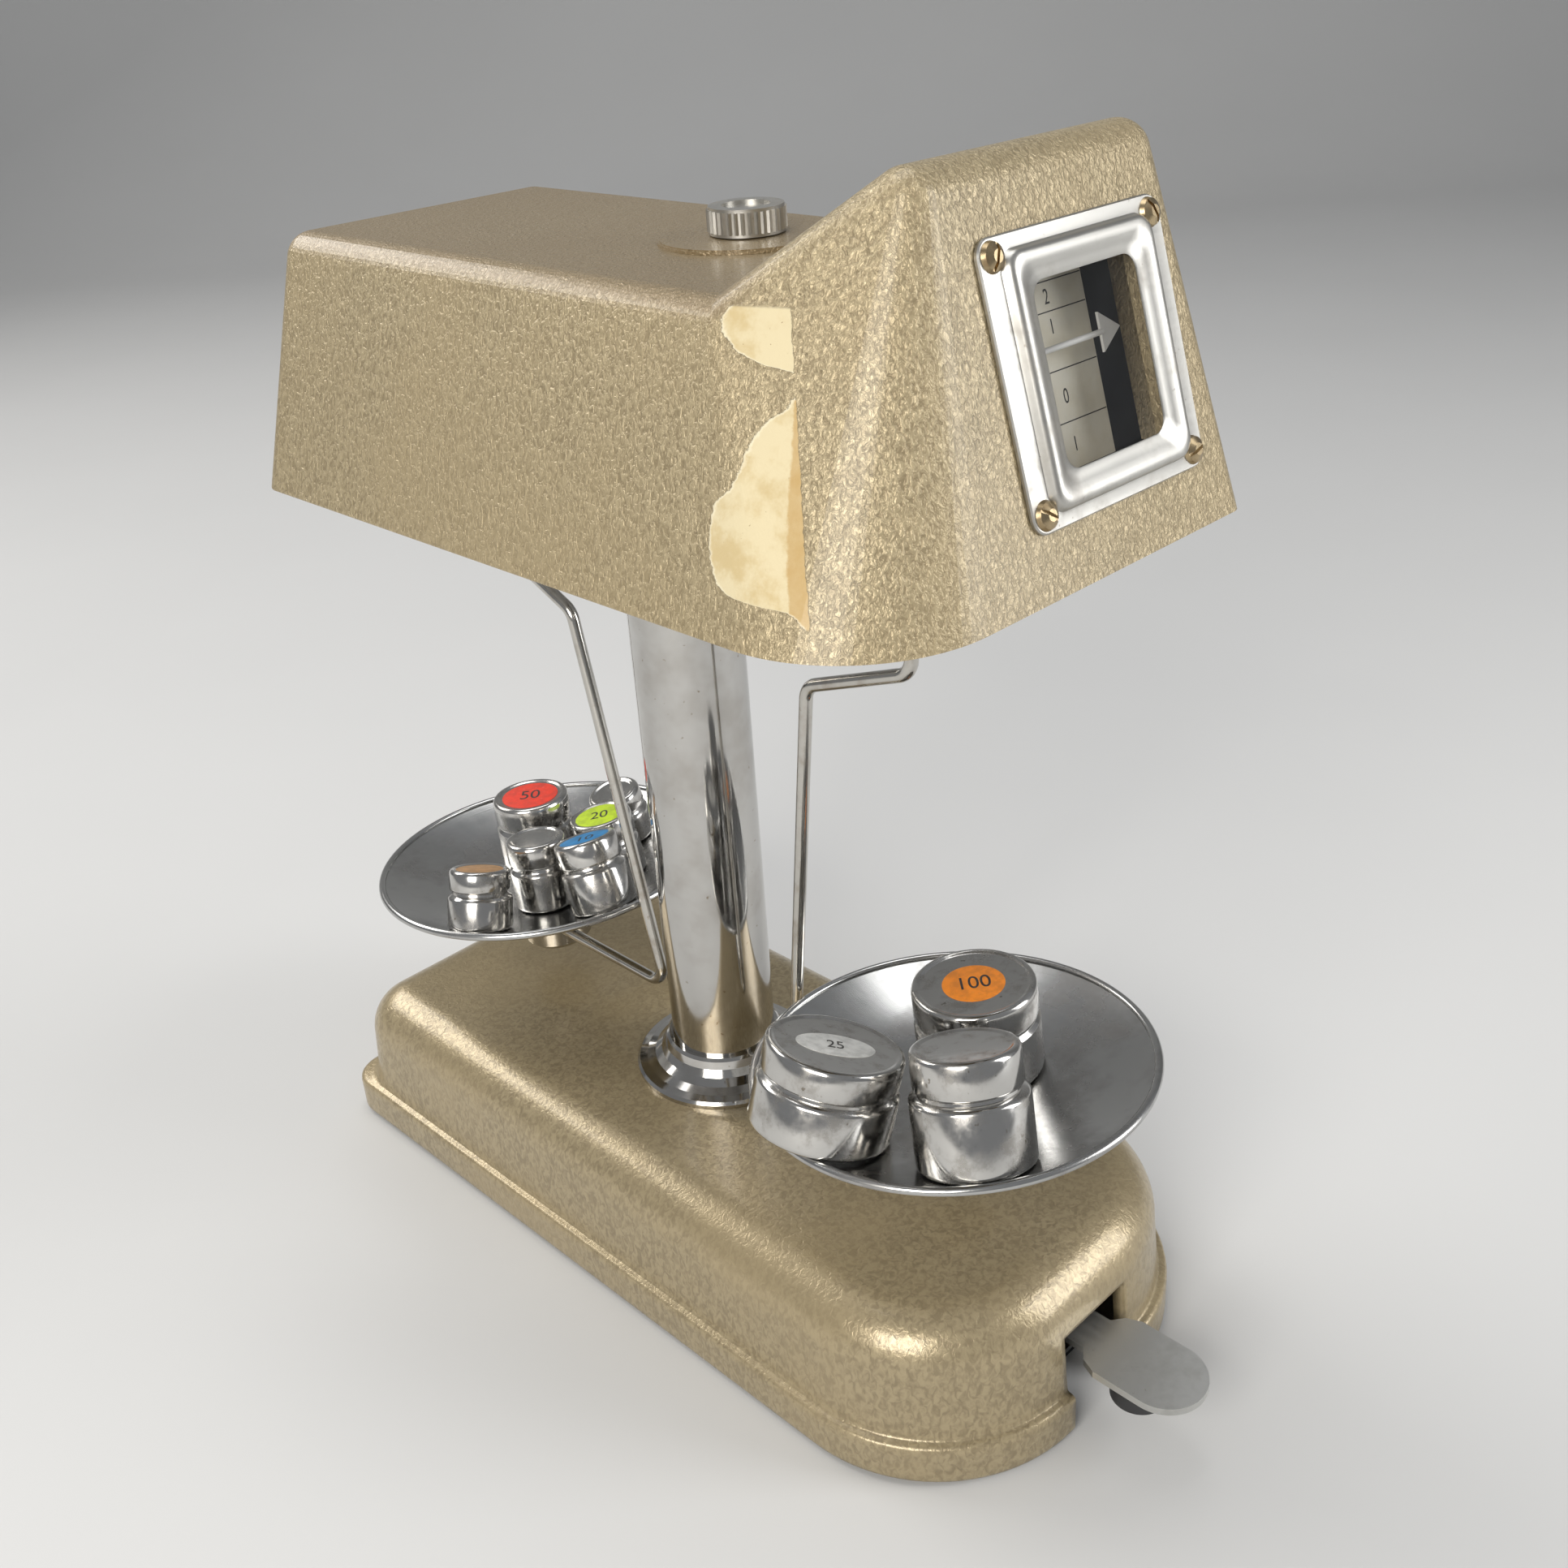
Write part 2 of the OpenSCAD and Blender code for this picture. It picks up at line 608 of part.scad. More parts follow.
// Drum weight resting in a pan: x, y from the pan's middle, foot height, lean towards the middle, radius,
// height, collar height
module drum(y, z, dx, dy, foot, lean, r, h, neck) {
    translate([0, y, z]) rotate([pan_lean, 0, 0]) translate([dx, dy, foot])
        rotate([0, -lean, atan2(dy, dx)]) rotate_extrude()
            polygon([[0, 0], [r - 1.6, 0], [r, 1.6], [r, h * neck - 1.4], [r - 1.2, h * neck - 0.6],
                [r - 1.2, h * neck + 0.8], [r - 0.4, h * neck + 1.6], [r - 0.4, h - 1.4], [r - 1.8, h], [0, h]]);
}

module weight_large() {
    color([0.66, 0.65, 0.62]) drum(front_pan_y, front_pan_z, 15, 1, -9.69, 2.2, 20.6, 32, 0.62);
}

module weight_wide() {
    color([0.7, 0.7, 0.7]) drum(front_pan_y, front_pan_z, -49, 13.5, -2.35, 19.6, 22.6, 28.5, 0.6);
}

module weight_collar() {
    color([0.82, 0.82, 0.84]) drum(front_pan_y, front_pan_z, -30.5, -34.2, -5.08, 15.6, 18.4, 36.7, 0.64);
}

module weight_red() {
    color([0.66, 0.65, 0.62]) drum(rear_pan_y, rear_pan_z, 5.5, 10.5, -10.3, 0.5, 15.4, 32.5, 0.66);
}

module weight_green() {
    color([0.72, 0.72, 0.72]) drum(rear_pan_y, rear_pan_z, 17, -23, -9.15, 6.5, 12.8, 26.5, 0.6);
}

module weight_blue() {
    color([0.66, 0.68, 0.7]) drum(rear_pan_y, rear_pan_z, -8, -47.5, -5.14, 16.9, 12.8, 28.1, 0.62);
}

module weight_small() {
    color([0.85, 0.85, 0.86]) drum(rear_pan_y, rear_pan_z, -47.5, -21, -3.94, 18.5, 12.2, 23, 0.6);
}

module weight_plain() {
    color([0.72, 0.72, 0.72]) drum(rear_pan_y, rear_pan_z, -14, -17, -9.82, 3.3, 11.8, 28, 0.62);
}

module weight_back() {
    color([0.8, 0.8, 0.8]) drum(rear_pan_y, rear_pan_z, 41, -4, -7.1, 13.2, 11, 22, 0.6);
}

base_pad();
base_casting();
bottom_plate();
plate_screws();
foot_flange();
column();
column_nut();
rod_guides();
head_collar();
head_plate();
cover_screws();
fulcrum_cheeks();
bearing_blocks();
head_cover();
adjuster_cap();
bezel();
bezel_screws();
window_glass();
card_bracket();
scale_card();
adjuster_knob();
adjuster_spindle();
lever_bracket();
lever_pin();
lever();
lever_bumper();
arrest_rod();
arrest_yoke();
arrest_spring();
beam();
centre_knife();
end_knives();
poise_nuts();
pointer();
front_stirrup();
front_hanger();
front_hub();
rear_stirrup();
rear_hanger();
rear_hub();
front_pan();
rear_pan();
weight_large();
weight_wide();
weight_collar();
weight_red();
weight_green();
weight_blue();
weight_small();
weight_plain();
weight_back();
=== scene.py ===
import json
import math
import bmesh
import bpy
import numpy as np
from mathutils import Matrix


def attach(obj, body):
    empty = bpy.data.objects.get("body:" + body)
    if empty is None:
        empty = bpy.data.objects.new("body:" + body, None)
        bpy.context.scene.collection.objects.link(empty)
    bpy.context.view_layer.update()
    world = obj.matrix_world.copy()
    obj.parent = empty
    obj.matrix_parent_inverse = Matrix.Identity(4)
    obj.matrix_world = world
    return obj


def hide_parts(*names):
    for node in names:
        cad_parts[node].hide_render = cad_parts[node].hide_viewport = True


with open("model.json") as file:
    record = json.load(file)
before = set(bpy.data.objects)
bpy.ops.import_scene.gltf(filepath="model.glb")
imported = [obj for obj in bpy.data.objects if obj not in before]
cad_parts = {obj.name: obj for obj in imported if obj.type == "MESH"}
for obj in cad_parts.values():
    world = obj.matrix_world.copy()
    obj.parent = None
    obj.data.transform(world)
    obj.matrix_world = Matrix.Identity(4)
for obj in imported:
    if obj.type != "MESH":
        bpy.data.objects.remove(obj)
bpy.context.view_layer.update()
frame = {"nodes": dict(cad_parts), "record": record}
nodes = frame["nodes"]
mm = 0.001


# One output socket of a node tree, so that sums on it read as plain Python
class Wire:
    def __init__(self, tree, socket):
        self.tree, self.socket = tree, socket

    def node(self, kind, sets=None, ins=None, out=0):
        new = self.tree.nodes.new("ShaderNode" + kind)
        for key, value in (sets or {}).items():
            if key == "curve":  # points of a Float Curve, first and last included
                line = new.mapping.curves[0]
                for _ in value[2:]:
                    line.points.new(0.5, 0.5)
                for spot, at in zip(line.points, value):
                    spot.location = at
                new.mapping.update()
            else:
                setattr(new, key, value)
        for key, value in (ins or {}).items():
            if isinstance(value, Wire):
                self.tree.links.new(value.socket, new.inputs[key])
            else:
                new.inputs[key].default_value = value
        return Wire(self.tree, new.outputs[out])

    def math(self, operation, a, b=0.0):
        return self.node("Math", {"operation": operation}, {0: a, 1: b})

    def __add__(self, other):
        return self.math("ADD", self, other)

    def __sub__(self, other):
        return self.math("SUBTRACT", self, other)

    def __rsub__(self, other):
        return self.math("SUBTRACT", other, self)

    def __mul__(self, other):
        return self.math("MULTIPLY", self, other)

    __radd__ = __add__
    __rmul__ = __mul__

    def noise(self, scale, detail=3.0, rough=0.55, bend=0.0):
        return self.node("TexNoise", None, {"Vector": self, "Scale": scale, "Detail": detail,
                                            "Roughness": rough, "Distortion": bend})

    def step(self, low, high):  # 0 below low, 1 above high
        return self.node("MapRange", {"interpolation_type": "SMOOTHSTEP"},
                         {"Value": self, "From Min": low, "From Max": high})

    def between(self, first, second):  # this value as the factor from one colour to another
        return self.node("Mix", {"data_type": "RGBA"}, {0: self, 6: first, 7: second}, 2)

    def placed(self, move=(0, 0, 0), turn=(0, 0, 0), scale=(1, 1, 1)):
        return self.node("Mapping", {"vector_type": "POINT"},
                         {"Vector": self, "Location": move, "Rotation": turn, "Scale": scale})

    def part(self, axis):
        return self.node("SeparateXYZ", None, {0: self}, axis)

    def bump(self, strength, depth, under=None):
        ins = {"Height": self, "Strength": strength, "Distance": depth}
        if under is not None:
            ins["Normal"] = under
        return self.node("Bump", None, ins)


def colour(r, g, b):
    return (r, g, b, 1.0)


def newFinish(name, recipe, **fixed):
    made = bpy.data.materials.new(name)
    made.use_nodes = True
    tree = made.node_tree
    tree.nodes.clear()
    here = Wire(tree, tree.nodes.new("ShaderNodeTexCoord").outputs["Object"])
    shader = tree.nodes.new("ShaderNodeBsdfPrincipled")
    for key, value in {**fixed, **recipe(here)}.items():
        socket = shader.inputs[key.replace("_", " ")]
        if isinstance(value, Wire):
            tree.links.new(value.socket, socket)
        else:
            socket.default_value = value
    end = tree.nodes.new("ShaderNodeOutputMaterial")
    tree.links.new(shader.outputs[0], end.inputs[0])
    return made


# Hammered enamel: cells pulled out of round, dark in the hollows, over a slow change of shade
def enamelRecipe(s):
    def recipe(here):
        pulled = here.placed(turn=(0.5, 0.6, 0.4), scale=(1, 1, 0.62))
        ripple = pulled.noise(s["cell"], 2.0, 0.5, 0.9)
        grit = here.noise(s["cell"] * 3.1, 2.0, 0.6)
        slow = here.noise(14, 3.0, 0.6)
        hollow = ripple.step(0.3, 0.66)
        tone = hollow.between(s["dark"], s["light"])
        tone = (slow.step(0.4, 0.62) * s["patch"]).between(tone, s["warm"])
        specks = here.noise(150, 4.0, 0.7).step(0.735, 0.775) * s["specks"]
        tone = specks.between(tone, colour(0.07, 0.055, 0.04))
        rough = s["rough"] + grit * 0.14 - hollow * 0.05
        normal = grit.bump(0.25, 0.0001, ripple.bump(s["relief"], s["depth"]))
        if "topShadeAbove" in s:  # painted shade: the flat top of the cover is darkened brown against its sides, standing in for less light falling on it
            height = here.part(2) * 1000
            topShadeMask = (height - s["topShadeAbove"]).step(0.0, 4.5) * (here.part(1) * 1000 + 98).step(-8.0, 8.0)
            # painted shade colour laid over the flat top, its strength varied by the slow noise
            tone = (topShadeMask * (slow * 0.4 + 0.6)).between(tone, colour(0.23, 0.168, 0.09))
        if "paper" in s:
            tone, rough, normal = s["paper"](here, tone, rough, normal)
        return {"Base_Color": tone, "Roughness": rough, "Normal": normal}
    return recipe


# Bright plate: hairline scratches along one way, dull patches and a few pits
def plateRecipe(s):
    def recipe(here):
        lines = here.placed(turn=s.get("turn", (0, 0, 0)), scale=s.get("grain", (1, 1, 0.04)))
        scratch = lines.noise(s.get("fine", 900), 3.0, 0.65)
        dull = here.noise(s.get("patchSize", 60), 4.0, 0.65)
        pits = here.noise(420, 2.0, 0.5).step(0.7, 0.78)
        tone = (dull.step(0.45, 0.7) * 0.8).between(s["light"], s["dark"])
        tone = (pits * s.get("pits", 0.5)).between(tone, s["dirt"])
        rough = s["rough"] + dull.step(0.4, 0.75) * s.get("roughMore", 0.12)
        rough = rough + scratch * s.get("hair", 0.06)
        normal = scratch.bump(s.get("relief", 0.08), 0.00006, dull.bump(0.06, 0.0004))
        return {"Base_Color": tone, "Roughness": rough, "Normal": normal}
    return recipe


# Flat material with a slow mottle and a fine tooth: rubber, paint, card, stone
def mattRecipe(s):
    def recipe(here):
        mottle = here.noise(s.get("mottle", 45), 4.0, 0.6)
        tooth = here.noise(s.get("tooth", 1600), 2.0, 0.6)
        tone = mottle.step(0.35, 0.68).between(s["light"], s["dark"])
        return {"Base_Color": tone, "Roughness": s["rough"] + mottle * 0.12,
                "Normal": tooth.bump(s.get("relief", 0.15), 0.00008)}
    return recipe


print("materials")
gold = {"dark": colour(0.27, 0.212, 0.12), "light": colour(0.445, 0.363, 0.22),
        "warm": colour(0.4, 0.315, 0.18)}
# the head coat's last entry is the height above which the flat top gets painted shade
headCoat = {**gold, "cell": 800, "patch": 0.4, "specks": 0.4, "rough": 0.36, "relief": 1.0, "depth": 0.0007,
            "topShadeAbove": 352.0}
baseCoat = {**gold, "dark": colour(0.27, 0.215, 0.127), "light": colour(0.4, 0.325, 0.197), "cell": 520,
            "patch": 0.5, "specks": 0.9, "rough": 0.3, "relief": 0.4, "depth": 0.0005}

# Torn paper left on the near side of the cover, between a torn left edge and a straight cut right one.
# Both run up the side: each edge is y against height z in millimetres, and noise frays the torn one
paper = {"low": 290.5, "high": 357.5, "beside": -45, "fray": 4.4, "yLow": -140, "ySpan": 50,
         "cutTop": -111.3, "cutRun": 25.4, "tint": colour(0.7, 0.61, 0.4),
         "aged": colour(0.6, 0.48, 0.26), "stain": colour(0.5, 0.32, 0.11),
         "torn": [(290.5, -136), (294.1, -131), (294.8, -121.7), (296.3, -111.7), (300.7, -107.1),
                  (306.7, -104.5), (311.2, -103.9), (315, -104.9), (319.3, -109), (329, -111.2),
                  (333.5, -113.8), (337.1, -117.6), (341, -118.8), (343.1, -117.8), (345.5, -108),
                  (349, -100), (354, -96.2), (357.5, -97.3)],
         "inner": [(290.5, -133), (294.5, -131.2), (312.1, -125.4), (327.2, -121.7), (340.6, -118.3),
                   (357.5, -113)]}


def paperEdge(height, points):
    low, tall, yLow, ySpan = paper["low"], paper["high"] - paper["low"], paper["yLow"], paper["ySpan"]
    spread = [((z - low) / tall, (y - yLow) / ySpan) for z, y in points]
    return height.node("FloatCurve", {"curve": spread}, {"Value": height}) * ySpan + yLow


def paperOver(here, tone, rough, normal):
    side, across, up = [here.part(k) * 1000 for k in range(3)]
    height = (up - paper["low"]) * (1 / (paper["high"] - paper["low"]))
    fray = (here.noise(240, 6.0, 0.78) - 0.5) * paper["fray"]
    torn = paperEdge(height, paper["torn"]) + fray + 0.9
    straight = (height - 1.0) * paper["cutRun"] + paper["cutTop"]
    thick = (across + fray * 0.4 - straight).step(0.0, 0.35) * (torn - across).step(0.0, 0.5)
    thick = thick * (up + fray * 0.5 - paper["low"]).step(0.0, 1.0) * (paper["high"] - up).step(0.0, 0.7)
    thick = thick * (paper["beside"] - side).step(0.0, 2.0)
    sheet = here.noise(95, 4.0, 0.65).step(0.4, 0.66).between(paper["tint"], paper["aged"])
    strip = (paperEdge(height, paper["inner"]) + fray * 0.5 + 1.3 - across).step(0.0, 0.8)
    sheet = (strip * (here.noise(150, 3.0) * 0.5 + 0.45)).between(sheet, paper["stain"])
    rim = (torn - across).step(1.4, 0.3) * 0.6
    sheet = rim.between(sheet, colour(0.84, 0.79, 0.62))
    specks = here.noise(620, 3.0, 0.6).step(0.7, 0.76)
    sheet = (specks * 0.7).between(sheet, colour(0.24, 0.13, 0.05))
    fibres = here.noise(1300, 3.0, 0.7)
    flat = (fibres * 0.2 + here.noise(120, 2.0) * 0.8).bump(0.35, 0.0004)
    lifted = thick.bump(0.9, 0.0005, normal)
    mixed = thick.node("Mix", {"data_type": "VECTOR"}, {0: thick * 0.85, 4: lifted, 5: flat}, 1)
    return thick.between(tone, sheet), rough * (1.0 - thick) + thick * 0.72, mixed


finishes = {
    "head_paint": newFinish("headPaintAndTopShade", enamelRecipe({**headCoat, "paper": paperOver}), Metallic=0.35,
                            Coat_Weight=0.35, Coat_Roughness=0.2),
    "base_paint": newFinish("basePaint", enamelRecipe(baseCoat), Metallic=0.4, Coat_Weight=0.35,
                            Coat_Roughness=0.18),
    "chrome_plate": newFinish("chromePlate", plateRecipe(
        {"light": colour(0.56, 0.55, 0.53), "dark": colour(0.43, 0.41, 0.38),
         "dirt": colour(0.24, 0.18, 0.12), "rough": 0.05, "roughMore": 0.05, "hair": 0.05,
         "patchSize": 26, "pits": 0.8}), Metallic=1.0),
    "rod_chrome": newFinish("rodChrome", plateRecipe(
        {"light": colour(0.56, 0.54, 0.5), "dark": colour(0.38, 0.34, 0.29), "dirt": colour(0.24, 0.18, 0.12),
         "rough": 0.12, "patchSize": 90}), Metallic=1.0),
    "weight_plate": newFinish("weightPlate", plateRecipe(
        {"light": colour(0.58, 0.57, 0.55), "dark": colour(0.38, 0.36, 0.33), "dirt": colour(0.17, 0.14, 0.1),
         "rough": 0.09, "roughMore": 0.22, "hair": 0.08, "patchSize": 120, "pits": 0.7}), Metallic=1.0),
    "dull_steel": newFinish("dullSteel", plateRecipe(
        {"light": colour(0.42, 0.42, 0.42), "dark": colour(0.3, 0.29, 0.28), "dirt": colour(0.2, 0.15, 0.1),
         "rough": 0.34}), Metallic=1.0),
    "knife_steel": newFinish("knifeSteel", plateRecipe(
        {"light": colour(0.55, 0.55, 0.57), "dark": colour(0.42, 0.42, 0.43), "dirt": colour(0.25, 0.2, 0.16),
         "rough": 0.18, "grain": (0.04, 1, 1)}), Metallic=1.0),
    "brass_parts": newFinish("brassParts", plateRecipe(
        {"light": colour(0.68, 0.48, 0.2), "dark": colour(0.5, 0.33, 0.13), "dirt": colour(0.22, 0.14, 0.06),
         "rough": 0.24}), Metallic=1.0),
    "screw_brass": newFinish("screwBrass", plateRecipe(
        {"light": colour(0.42, 0.33, 0.2), "dark": colour(0.26, 0.18, 0.1), "dirt": colour(0.08, 0.055, 0.03),
         "rough": 0.24, "patchSize": 300}), Metallic=1.0),
    "nickel_frame": newFinish("nickelFrame", plateRecipe(
        {"light": colour(0.5, 0.49, 0.46), "dark": colour(0.34, 0.32, 0.29), "dirt": colour(0.17, 0.13, 0.09),
         "rough": 0.3, "roughMore": 0.16, "grain": (0.05, 1, 1), "hair": 0.12, "pits": 0.6}), Metallic=1.0),
    "lever_steel": newFinish("leverSteel", plateRecipe(
        {"light": colour(0.62, 0.62, 0.6), "dark": colour(0.48, 0.48, 0.46), "dirt": colour(0.28, 0.24, 0.2),
         "rough": 0.36, "roughMore": 0.14, "grain": (1, 0.05, 1), "hair": 0.16, "relief": 0.16}),
        Metallic=1.0),
    "bearing_stone": newFinish("bearingStone", mattRecipe(
        {"light": colour(0.36, 0.1, 0.07), "dark": colour(0.2, 0.05, 0.04), "rough": 0.1, "relief": 0.02})),
    "black_pad": newFinish("blackPad", mattRecipe(
        {"light": colour(0.03, 0.03, 0.03), "dark": colour(0.018, 0.018, 0.018), "rough": 0.6})),
    "black_rubber": newFinish("blackRubber", mattRecipe(
        {"light": colour(0.03, 0.03, 0.032), "dark": colour(0.014, 0.014, 0.015), "rough": 0.42})),
    # near black: on the card bracket's wide plate behind the window this is painted shade standing in for the
    # dark inside of the cover
    "dark_paint": newFinish("darkPaintAndShade", mattRecipe(
        {"light": colour(0.02, 0.024, 0.034), "dark": colour(0.012, 0.013, 0.018), "rough": 0.5})),
    "card_stock": newFinish("cardStock", mattRecipe(
        {"light": colour(0.93, 0.89, 0.76), "dark": colour(0.86, 0.8, 0.64), "rough": 0.6, "mottle": 90})),
    "pointer_white": newFinish("pointerWhite", mattRecipe(
        {"light": colour(0.85, 0.85, 0.83), "dark": colour(0.72, 0.71, 0.68), "rough": 0.3})),
    "window_pane": newFinish("windowPane", lambda here: {
        "Base_Color": here.noise(70).between(colour(0.03, 0.032, 0.034), colour(0.06, 0.062, 0.062)),
        "Roughness": here.noise(160, 4).step(0.45, 0.9) * 0.12 + 0.02,
        "Alpha": here.noise(110, 4).step(0.4, 0.8) * 0.06 + 0.12},
        Coat_Weight=1.0, Coat_Roughness=0.02, IOR=1.5),
}


# A grid of points in millimetres, rows x columns x 3, becomes one skin of quads; keep masks out quads
def skin(name, points, closeRows=False, closeCols=False, keep=None, sharp=35):
    rows, cols = points.shape[:2]
    a, b = np.meshgrid(np.arange(rows - (not closeRows)), np.arange(cols - (not closeCols)), indexing="ij")
    c, d = (a + 1) % rows, (b + 1) % cols
    quads = np.stack([a * cols + b, a * cols + d, c * cols + d, c * cols + b], -1).reshape(-1, 4)
    if keep is not None:
        quads = quads[keep(points.reshape(-1, 3)[quads].mean(1))]
    mesh = bpy.data.meshes.new(name)
    mesh.from_pydata((points.reshape(-1, 3) * mm).tolist(), [], quads.tolist())
    return settle(name, mesh, sharp)


# Poles and seams are merged, faces turned outwards and smoothed, and the object stands at the origin
def settle(name, mesh, sharp):
    work = bmesh.new()
    work.from_mesh(mesh)
    bmesh.ops.remove_doubles(work, verts=work.verts, dist=1e-6)
    bmesh.ops.delete(work, geom=[v for v in work.verts if not v.link_faces], context="VERTS")
    bmesh.ops.recalc_face_normals(work, faces=work.faces)
    work.to_mesh(mesh)
    work.free()
    mesh.polygons.foreach_set("use_smooth", np.ones(len(mesh.polygons), bool))
    mesh.set_sharp_from_angle(angle=math.radians(sharp))
    piece = bpy.data.objects.new(name, mesh)
    bpy.context.collection.objects.link(piece)
    return piece


def fit(piece, body, slot, *replaced, finish=None):
    piece.data.materials.append(finish or finishes[slot])
    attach(piece, body)
    if replaced:
        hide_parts(*replaced)
    return piece


def turnMatrix(axis, degrees):
    return np.array(Matrix.Rotation(math.radians(degrees), 3, axis))


# A profile of (radius, height) turned about an upright axis; shut joins its last point to its first
def turned(name, profile, steps, place, shut=False, sharp=35):
    r, h = np.array(profile, float).T
    a = np.linspace(0, 2 * np.pi, steps, endpoint=False)
    points = np.stack([np.outer(r, np.cos(a)), np.outer(r, np.sin(a)), np.outer(h, np.ones(steps))], -1)
    return skin(name, place(points), closeRows=shut, closeCols=True, sharp=sharp)


# A run of points along a rounded corner path: straight legs joined by arcs of the bend radius
def roundedPath(corners, bend, steps=10):
    p = np.array(corners, float)
    run = [p[:1]]
    for before, at, after in zip(p[:-2], p[1:-1], p[2:]):
        d, e = (at - before) / np.linalg.norm(at - before), (after - at) / np.linalg.norm(after - at)
        half = math.acos(float(np.clip(d @ e, -1, 1))) / 2
        mid = (e - d) / np.linalg.norm(e - d)
        centre = at + mid * bend / math.cos(half)
        t = np.linspace(-half, half, steps)[:, None]
        along = (d + e) / np.linalg.norm(d + e)
        run.append(centre - mid * bend * np.cos(t) + along * bend * np.sin(t))
    return np.concatenate(run + [p[-1:]])


# A round rod along a path in the upright plane at x: each ring stands square to the path
def rodPiece(name, x, path, radius, steps=20):
    way = np.gradient(path, axis=0)
    way /= np.linalg.norm(way, axis=1)[:, None]
    a = np.linspace(0, 2 * np.pi, steps, endpoint=False)
    ring = np.full((len(path), 1), float(radius))
    points = np.stack([x + ring * np.cos(a), path[:, :1] - ring * np.sin(a) * way[:, 1:],
                       path[:, 1:] + ring * np.sin(a) * way[:, :1]], -1)
    ends = [np.repeat(points[k].mean(1, keepdims=True), steps, 1) for k in (slice(0, 1), slice(-1, None))]
    return skin(name, np.concatenate([ends[0], points, ends[1]]), closeCols=True, sharp=50)


print("base casting")
base = {"half": 76.1, "front": -173.3, "back": 155.4, "corner": 58.1, "round": 18, "wall": 4.5,
        "slotHalf": 16, "slotTop": 38, "hole": 19.4, "lipRear": 13, "bodyRear": 25.2, "bodyInset": 2.2,
        "draft": 2.909, "draftRun": 37.5, "draftLow": 1.6, "roundLow": 39.1, "roundInset": 5.109}


# Plan of the base at an inset: front straight, wide corner, side, tight corner, back, then its mirror image
def basePlan(inset, rear):
    h, f, b, q = base["half"] - inset, base["front"] + inset, base["back"] - inset, base["corner"] - inset
    arc = np.linspace(-90, 0, 25)[1:, None] * math.pi / 180
    back = np.linspace(0, 90, 13)[1:, None] * math.pi / 180
    right = np.concatenate([
        np.stack([np.array([0, 4, 8, 12, 16, h - q]), np.full(6, f)], -1),
        np.hstack([h - q + q * np.cos(arc), f + q + q * np.sin(arc)]),
        np.stack([np.full(40, h), np.linspace(f + q, b - rear, 41)[1:]], -1),
        np.hstack([h - rear + rear * np.cos(back), b - rear + rear * np.sin(back)]),
        np.stack([np.linspace(h - rear, 0, 9)[1:], np.full(8, b)], -1)])
    return np.concatenate([right, right[-2:0:-1] * [-1, 1]])


# The skin goes up the lip, over its edge, up the drafted side, over the big round and in to the column
def baseRows(s):
    lip, body = s["lipRear"], s["bodyRear"]
    rows = [(0.7, lip, 1.6), (0.15, lip, 2.1), (0, lip, 3)] + [(0, lip, z) for z in (6, 9, 12, 14.2)]
    rows += [(0.25, lip, 15.3), (0.8, 13.4, 16), (1.6, 14.5, 16.3), (2.5, 17, 16.45), (3.15, 21.5, 16.9)]
    rows += [(3.4, 23, 17.8)]
    rows += [(s["bodyInset"] + s["draft"] * (z - s["draftLow"]) / s["draftRun"], body, z)
             for z in (20, 24, 29, 33.5, 38, s["roundLow"])]
    turn, size = np.linspace(0, math.pi / 2, 15)[1:], s["round"]
    rows += [(s["roundInset"] + size * (1 - math.cos(t)), body, s["roundLow"] + size * math.sin(t))
             for t in turn]
    return rows


rings = [np.insert(basePlan(d, rear - d), 2, z, axis=1) for d, rear, z in baseRows(base)]
edge = rings[-1]
angle = np.arctan2(edge[:, 1], edge[:, 0])
hole = np.stack([base["hole"] * np.cos(angle), base["hole"] * np.sin(angle), edge[:, 2]], -1)
rings += [edge * (1 - t) + hole * t for t in (0.06, 0.3, 0.6, 1.0)]
baseShell = skin("base_shell", np.array(rings), closeCols=True, sharp=60, keep=lambda c: ~(
    (np.abs(c[:, 0]) < base["slotHalf"]) & (c[:, 2] < base["slotTop"]) & (c[:, 1] < -100)))
wall = baseShell.modifiers.new("wall", "SOLIDIFY")
wall.thickness, wall.offset = base["wall"] * mm, -1
fit(baseShell, "stand", "base_paint", "base_casting")

print("hangers")
hangers = {
    "front_hanger": {"x": 0, "path": [(-98, 301.8), (-98, 241), (-54.5, 225), (-38, 79.5), (-108.2, 79.5)]},
    "rear_hanger": {"x": -5, "path": [(90, 301.8), (90, 241), (55, 225), (25.5, 79.5), (98, 79.5)]}}
for name, s in hangers.items():
    fit(rodPiece(name + "_rod", s["x"], roundedPath(s["path"], 7), 2.2), name, "rod_chrome", name)

print("pans")
panLean = -4.3
pans = {"front": (-111.2, 108.6), "rear": (101.0, 106.7)}
panShape = {"floor": -10.5, "thick": 1.05, "rim": 64.6, "roll": 1.5}


def inPan(side):
    y, z = pans[side]
    return lambda points: points @ turnMatrix("X", panLean).T + np.array([0, y, z])


# Dish section: inner face out to the rim, round the rolled edge, back along the underside
def panProfile(s):
    knots = np.array([(5.1, 0), (24, 0), (31, 0.75), (37.8, 2.0), (44, 3.5), (49.6, 5.2), (58.6, 8.4),
                      (63.4, 10.45)])
    r = np.concatenate([np.linspace(5.1, 24, 4), np.linspace(25, 63.4, 30)])
    h = np.interp(r, knots[:, 0], knots[:, 1])
    soft = np.convolve(np.pad(h, 2, mode="edge"), np.ones(5) / 5, mode="valid")
    soft[-3:] = h[-3:]
    turn = np.linspace(150, -150, 22) * math.pi / 180
    roll = np.stack([s["rim"] + s["roll"] * np.cos(turn), s["roll"] * np.sin(turn)], -1)
    inner = np.stack([r, s["floor"] + soft], -1)
    outer = np.stack([r[::-1], inner[::-1, 1] - s["thick"]], -1)
    return np.concatenate([inner, roll, outer])


